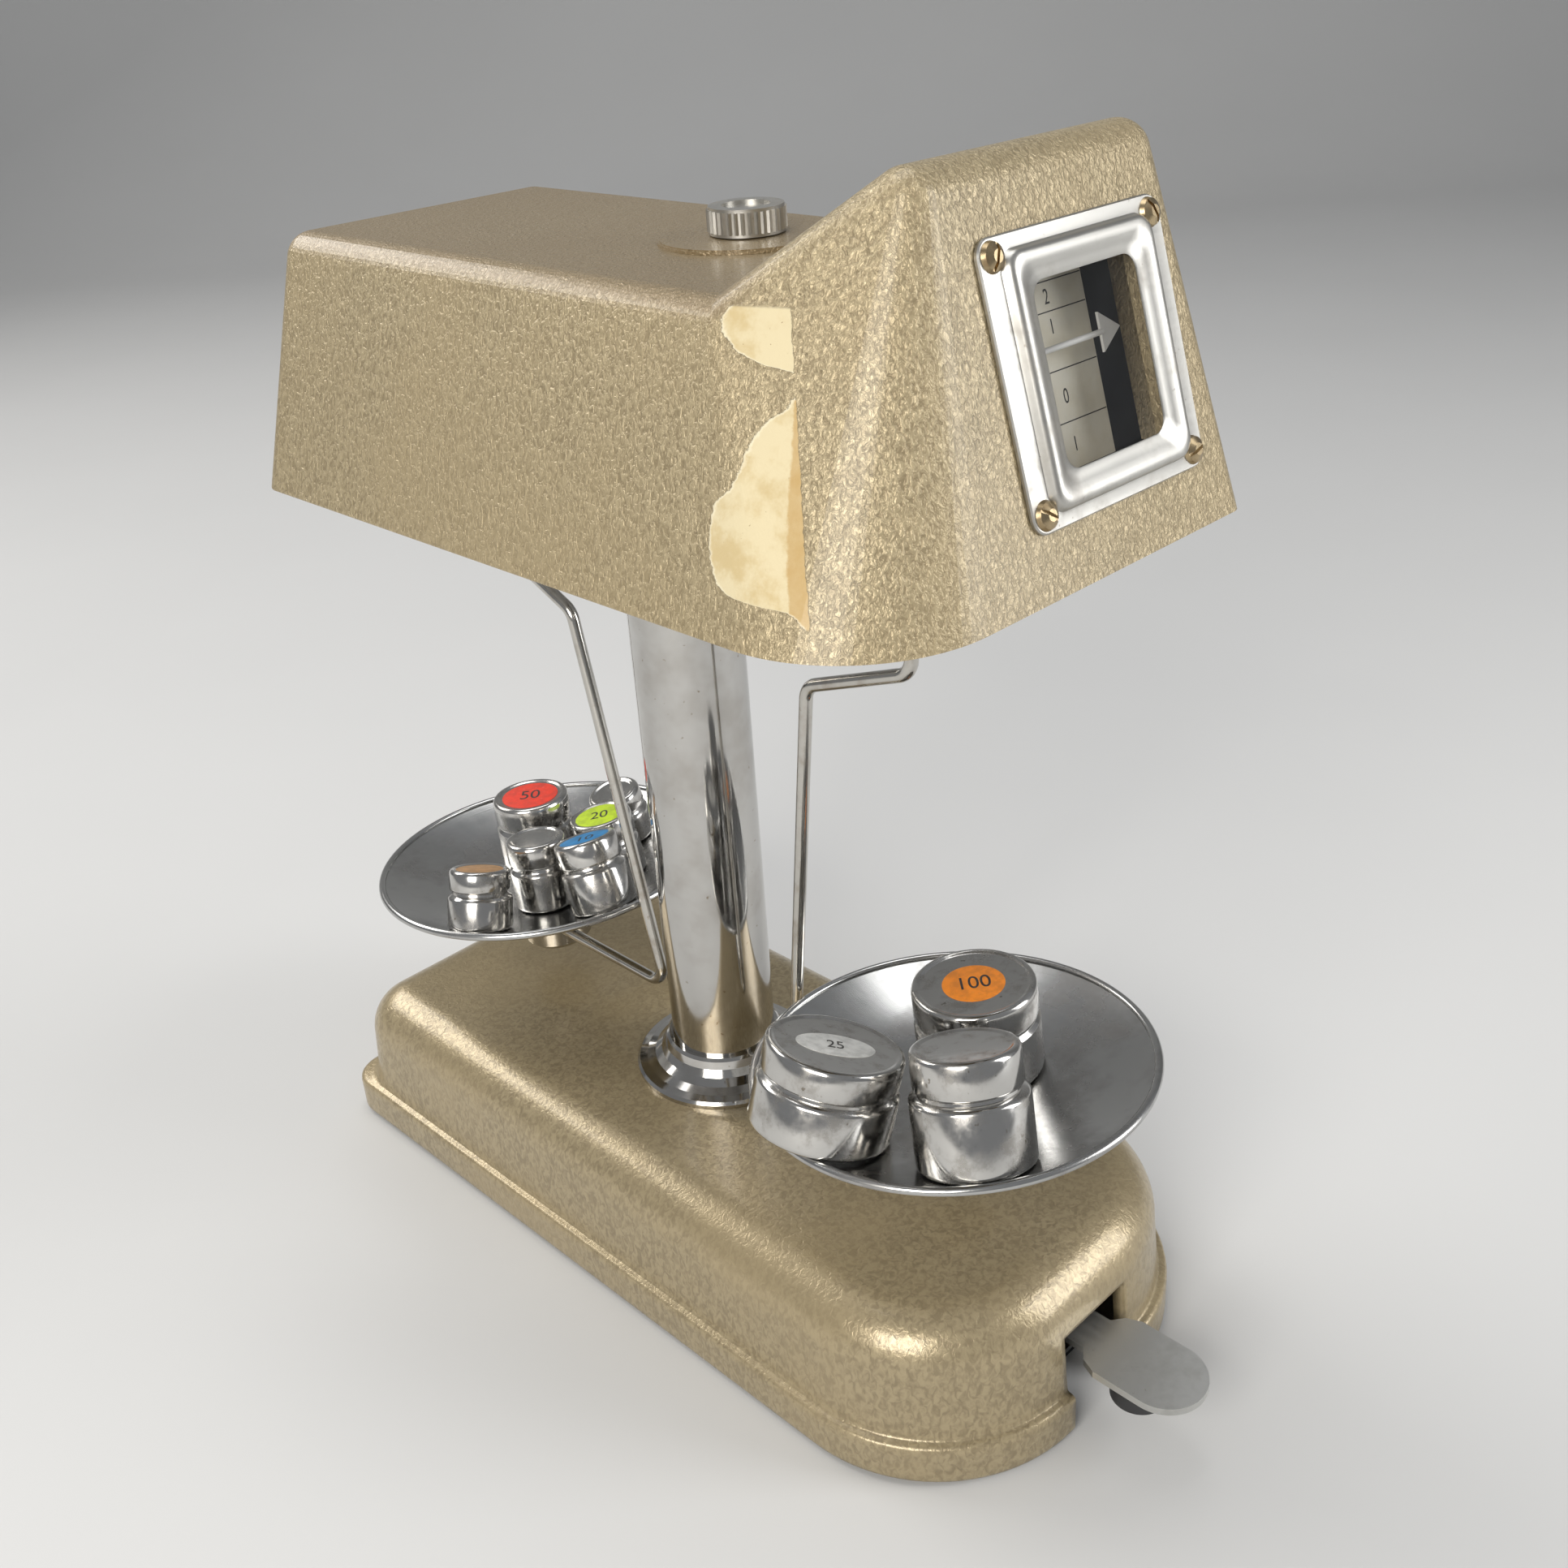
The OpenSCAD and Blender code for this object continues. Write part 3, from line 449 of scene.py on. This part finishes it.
def panFinish(side):
    y, z = pans[side]
    def recipe(here):
        flat = here.placed(move=(0, -y * mm, -z * mm))
        away = flat.node("VectorMath", {"operation": "LENGTH"}, {0: flat}, 1)
        rings = away.node("TexNoise", {"noise_dimensions": "1D"}, {"W": away, "Scale": 1500, "Detail": 3.0})
        dull = here.noise(35, 4, 0.65)
        scuff = here.placed(turn=(0, 0, 0.7), scale=(1, 0.06, 1)).noise(520, 3)
        tone = dull.step(0.42, 0.7).between(colour(0.52, 0.52, 0.51), colour(0.36, 0.35, 0.34))
        return {"Base_Color": tone, "Roughness": 0.17 + dull.step(0.4, 0.75) * 0.14 + scuff * 0.06,
                "Normal": rings.bump(0.12, 0.00008, scuff.bump(0.05, 0.00005))}
    return newFinish(side + "Dish", recipe, Metallic=1.0)


for side in pans:
    dish = turned(side + "_dish", panProfile(panShape), 160, inPan(side), shut=True, sharp=50)
    fit(dish, side + "_pan", "pan_steel", side + "_pan", finish=panFinish(side))

print("weights")
# pan, x and y in it, foot, lean, radius, height, share of height at the groove, cap radius share,
# label colour, plain number
weights = {
    "large": ("front", 15, 1, -9.69, 2.2, 20.6, 32, 0.62, 1.0, "orange", "100"),
    "wide": ("front", -49, 13.5, -2.35, 19.6, 22.6, 28.5, 0.6, 0.98, "grey", "25"),
    "collar": ("front", -30.5, -34.2, -5.08, 15.6, 18.4, 36.7, 0.64, 0.93, "", ""),
    "red": ("rear", 5.5, 10.5, -10.3, 0.5, 15.4, 32.5, 0.66, 1.0, "red", "50"),
    "green": ("rear", 17, -23, -9.15, 6.5, 12.8, 26.5, 0.6, 1.0, "green", "20"),
    "blue": ("rear", -8, -47.5, -5.14, 16.9, 12.8, 28.1, 0.62, 0.98, "blue", "10"),
    "small": ("rear", -47.5, -21, -3.94, 18.5, 12.2, 23, 0.6, 0.96, "tan", ""),
    "plain": ("rear", -14, -17, -9.82, 3.3, 11.8, 28, 0.62, 1.0, "", ""),
    "back": ("rear", 41, -4, -7.1, 13.2, 11, 22, 0.6, 1.0, "", "")}
inks = {"orange": (0.85, 0.26, 0.02), "grey": (0.62, 0.62, 0.6), "red": (0.72, 0.045, 0.02),
        "green": (0.5, 0.68, 0.02),
        "blue": (0.015, 0.25, 0.58), "tan": (0.5, 0.28, 0.12)}


def labelFinish(name, rgb):
    def recipe(here):
        worn = here.noise(260, 4, 0.6)
        scuff = here.noise(900, 3, 0.6).step(0.62, 0.74)
        tone = worn.step(0.35, 0.7).between(colour(*rgb), colour(*[c * 0.72 + 0.01 for c in rgb]))
        tone = (scuff * 0.45).between(tone, colour(*[min(1, c * 0.8 + 0.18) for c in rgb]))
        return {"Base_Color": tone, "Roughness": 0.42 + worn * 0.15, "Normal": worn.bump(0.1, 0.00005)}
    return newFinish(name, recipe)


labelFinishes = {name: labelFinish(name + "Label", rgb) for name, rgb in inks.items()}
printBlack = newFinish("printBlack", mattRecipe(
    {"light": colour(0.02, 0.02, 0.02), "dark": colour(0.05, 0.045, 0.04), "rough": 0.5, "mottle": 600}))


# Drum: dished foot, lower body, a groove, upper band, raised rim round a slightly sunk top
def drumProfile(r, h, neck, cap):
    g, u = h * neck, r * cap - 0.25
    return [(0, 0.5), (r - 3.2, 0.5), (r - 2.6, 0), (r - 1.7, 0), (r - 0.7, 0.35), (r - 0.12, 1.1), (r, 2),
            (r, g - 2.2), (r - 0.25, g - 1.4), (r - 1.1, g - 0.8), (u - 1.1, g - 0.2), (u - 1.2, g + 0.7),
            (u - 0.35, g + 1.3), (u, g + 2), (u, h - 1.7), (u - 0.25, h - 0.8), (u - 0.85, h - 0.18),
            (u - 1.5, h), (u - 2.2, h - 0.1),
            (u - 2.7, h - 0.5), (u - 3.3, h - 0.6), (0, h - 0.6)]


def onDrum(key):
    side, dx, dy, foot, lean = weights[key][:5]
    turn = turnMatrix("Z", math.degrees(math.atan2(dy, dx))) @ turnMatrix("Y", -lean)
    unturn = turnMatrix("Z", -math.degrees(math.atan2(dy, dx)))
    return lambda points: inPan(side)(points @ (turn @ unturn).T + np.array([dx, dy, foot]))


def figures(name, text, size, thick, place, squeeze=0.8):
    made = bpy.data.curves.new(name, "FONT")
    made.body, made.size, made.extrude, made.align_x, made.align_y = text, size, thick, "CENTER", "CENTER"
    holder = bpy.data.objects.new(name + "_curve", made)
    bpy.context.collection.objects.link(holder)
    mesh = bpy.data.meshes.new_from_object(holder.evaluated_get(bpy.context.evaluated_depsgraph_get()))
    bpy.data.objects.remove(holder)
    flat = np.empty(len(mesh.vertices) * 3)
    mesh.vertices.foreach_get("co", flat)
    flat = flat.reshape(-1, 3) * [squeeze, 1, 1]
    mesh.vertices.foreach_set("co", (place(flat) * mm).ravel())
    mesh.materials.clear()
    mesh.name = name
    return settle(name, mesh, 30)


labelSize = {"large": (10.2, 10.2), "wide": (12.4, 7.6), "red": (11.2, 11.2), "green": (9.6, 9.6),
             "blue": (9.8, 9.8), "small": (9.2, 9.2)}
labelTurn = -43
for key, (side, dx, dy, foot, lean, r, h, neck, cap, ink, number) in weights.items():
    body = "weight_" + key
    drum = turned("drum_" + key, drumProfile(r, h, neck, cap), 96, onDrum(key), sharp=40)
    fit(drum, body, "weight_plate", body)
    if not ink:
        continue
    wide, deep = labelSize[key]
    face = h - 0.6
    turnLabel = turnMatrix("Z", labelTurn)
    squash = lambda p: (p * [wide / 10, deep / 10, 1]) @ turnLabel.T
    disc = [(0, face + 0.18), (9.75, face + 0.18), (10, face + 0.12), (10, face - 0.1), (0, face - 0.1)]
    label = turned("label_" + key, disc, 72, lambda p: onDrum(key)(squash(p)), sharp=30)
    fit(label, body, "weight_plate", finish=labelFinishes[ink])
    if number:
        digits = figures("figures_" + key, number, deep * 0.95, 0.03,
                         lambda p: onDrum(key)(p @ turnLabel.T + np.array([0, 0, face + 0.2])))
        fit(digits, body, "weight_plate", finish=printBlack)

print("window frame and card")
window = {"x": 16.6, "lean": 15.64, "z": 334.25, "low": 283.9, "front": -160.8}
faceY = window["front"] + (window["z"] - window["low"]) * math.tan(math.radians(window["lean"]))


def onFace(points):
    return points @ turnMatrix("X", 90 - window["lean"]).T + np.array([window["x"], faceY, window["z"]])


# One loop of a rounded rectangle, by half sizes, corner radius and height off the face
def frameLoop(a, b, r, z, steps=9):
    t = np.linspace(0, math.pi / 2, steps)
    corner = np.stack([a - r + r * np.cos(t), b - r + r * np.sin(t)], -1)
    loop = np.concatenate([corner, corner[::-1] * [-1, 1], corner * [-1, -1], corner[::-1] * [1, -1]])
    return np.column_stack([loop, np.full(len(loop), z)])


bezelLoops = [(36.4, 35.0, 4.4, 0.05), (37, 35.6, 5, 0.25), (37, 35.6, 5, 1.0), (36.6, 35.2, 4.6, 1.4),
              (31, 32.6, 5.4, 1.42), (30, 31.9, 5.3, 1.6), (29.6, 31.55, 5.1, 2.2), (29.3, 31.3, 5, 3.2),
              (28.8, 30.8, 5, 3.95), (27.9, 29.9, 5, 4.35), (26.8, 28.8, 5, 4.4), (25.6, 27.6, 4.9, 4.15),
              (24.2, 26.2, 4.8, 3.55), (22.6, 24.6, 4.7, 2.9), (21.4, 23.4, 4.5, 2.65), (21, 23, 4.5, 2.4),
              (21, 23, 4.5, 2.2), (25, 27, 5, 2.15), (25, 27, 5, 0.05)]
bezelSkin = onFace(np.array([frameLoop(*s) for s in bezelLoops]))
fit(skin("window_frame", bezelSkin, closeRows=True, closeCols=True, sharp=40),
    "stand", "nickel_frame", "bezel")

card = {"left": -24, "right": 22, "half": 27, "back": -15.95, "face": -15.45, "lines": (21, 13.5, -1.5, -15),
        "thick": 0.32, "figureX": 6, "figureSize": 5.6,
        "figures": (("2", 17.2), ("1", 9.6), ("0", -8.4), ("1", -21))}


# A flat box by its low and high corner in the face's frame; a bevel rounds its edges unless round is 0
def slab(name, low, high, round=0.1):
    x, y, z = [np.array([a, b], float) for a, b in zip(low, high)]
    loop = np.array([[x[0], y[0]], [x[1], y[0]], [x[1], y[1]], [x[0], y[1]]])
    middle = loop * 0 + loop.mean(0)
    rows = [np.column_stack([flatLoop, np.full(4, at)])
            for flatLoop, at in ((middle, z[0]), (loop, z[0]), (loop, z[1]), (middle, z[1]))]
    piece = skin(name, onFace(np.array(rows)), closeCols=True, sharp=30)
    if round:
        edge = piece.modifiers.new("edge", "BEVEL")
        edge.width, edge.segments, edge.limit_method = round * mm, 2, "ANGLE"
    return piece


sheetLow, sheetHigh = (card["left"], -card["half"], card["back"]), (card["right"], card["half"], card["face"])
fit(slab("card_sheet", sheetLow, sheetHigh), "stand", "card_stock", "scale_card")
printed = card["face"] + 0.03  # the ink stands this far off the window's face
for k, y in enumerate(card["lines"]):
    low = (card["left"] + 0.5, y, card["face"] - 0.02)
    high = (card["right"] - 0.3, y + card["thick"], printed)
    fit(slab("card_line_%d" % k, low, high, 0), "stand", "card_stock", finish=printBlack)
for k, (text, y) in enumerate(card["figures"]):
    fit(figures("card_figure_%d" % k, text, card["figureSize"], 0.02,
                lambda p: onFace(p + np.array([card["figureX"], y, printed]))),
        "stand", "card_stock", finish=printBlack)

print("carried-over parts")
slots = {row["node"]: row["material_slot"] for row in frame["record"]["subparts"]}
for name, piece in nodes.items():
    if not piece.hide_render:
        piece.data.materials.clear()
        piece.data.materials.append(finishes.get(slots[name], finishes["weight_plate"]))

print("stage")
stageSet = {"floorSize": 6.0, "tints": (colour(0.57, 0.57, 0.565), colour(0.61, 0.61, 0.605))}


# Floor with a sweep up behind: flat, then a quarter round, then an upright wall
def sweepPoints(s):
    t = np.linspace(0, math.pi / 2, 24)
    run = np.concatenate([[-3.0, 2.0], 2.0 + np.sin(t), [3.0]])
    rise = np.concatenate([[0, 0], 1 - np.cos(t), [3.2]])
    across = np.linspace(-s["floorSize"], s["floorSize"], 5)
    look = np.array([0.689, 0.725])  # away from the camera on the floor
    side = np.array([0.725, -0.689])
    flat = run[:, None, None] * look + across[None, :, None] * side
    return np.concatenate([flat, np.broadcast_to(rise[:, None, None], flat.shape[:2] + (1,))], -1) * 1000


floor = skin("floor", sweepPoints(stageSet), sharp=60)
floor.data.materials.append(newFinish("paleFloor", lambda here: {
    "Base_Color": here.noise(3).between(*stageSet["tints"]), "Roughness": 0.75 + here.noise(40) * 0.1}))


def softLamp(name, place, aim, size, watts, tint=(1, 1, 1)):
    lamp = bpy.data.lights.new(name, "AREA")
    lamp.shape, lamp.size, lamp.size_y, lamp.energy, lamp.color = "RECTANGLE", size[0], size[1], watts, tint
    holder = bpy.data.objects.new(name, lamp)
    bpy.context.collection.objects.link(holder)
    direction = np.array(place, float) - np.array(aim, float)
    z = direction / np.linalg.norm(direction)
    x = np.cross([0, 0, 1.0], z)
    x /= np.linalg.norm(x)
    y = np.cross(z, x)
    holder.matrix_world = Matrix([[x[0], y[0], z[0], place[0]], [x[1], y[1], z[1], place[1]],
                                  [x[2], y[2], z[2], place[2]], [0, 0, 0, 1]])


softLamp("keyLamp", (-1.45, -0.6, 1.0), (0, 0, 0.22), (0.9, 0.9), 25, (1, 0.97, 0.92))
softLamp("topLamp", (0.15, 0.35, 1.7), (0, 0, 0.2), (1.1, 0.8), 9)
softLamp("rimLamp", (-0.35, 1.6, 1.3), (0, 0, 0.2), (1.2, 0.6), 16, (1, 0.98, 0.95))
softLamp("frontLamp", (0.9, -1.3, 0.75), (0, 0, 0.2), (0.6, 1.2), 15)

world = bpy.data.worlds.new("studio")
bpy.context.scene.world = world
world.use_nodes = True
world.node_tree.nodes["Background"].inputs[0].default_value = (0.8, 0.82, 0.85, 1)
world.node_tree.nodes["Background"].inputs[1].default_value = 0.32

camera = bpy.data.cameras.new("camera")
camera.sensor_width, camera.lens, camera.clip_end = 36, 38.483, 50
eye = bpy.data.objects.new("camera", camera)
bpy.context.collection.objects.link(eye)
eye.matrix_world = Matrix([[0.7013, 0.37188, -0.60818, -0.33192], [-0.71034, 0.29272, -0.64011, -0.39081],
                           [-0.06002, 0.88092, 0.46945, 0.44242], [0, 0, 0, 1]])
bpy.context.scene.camera = eye
bpy.context.scene.view_settings.view_transform = "Standard"
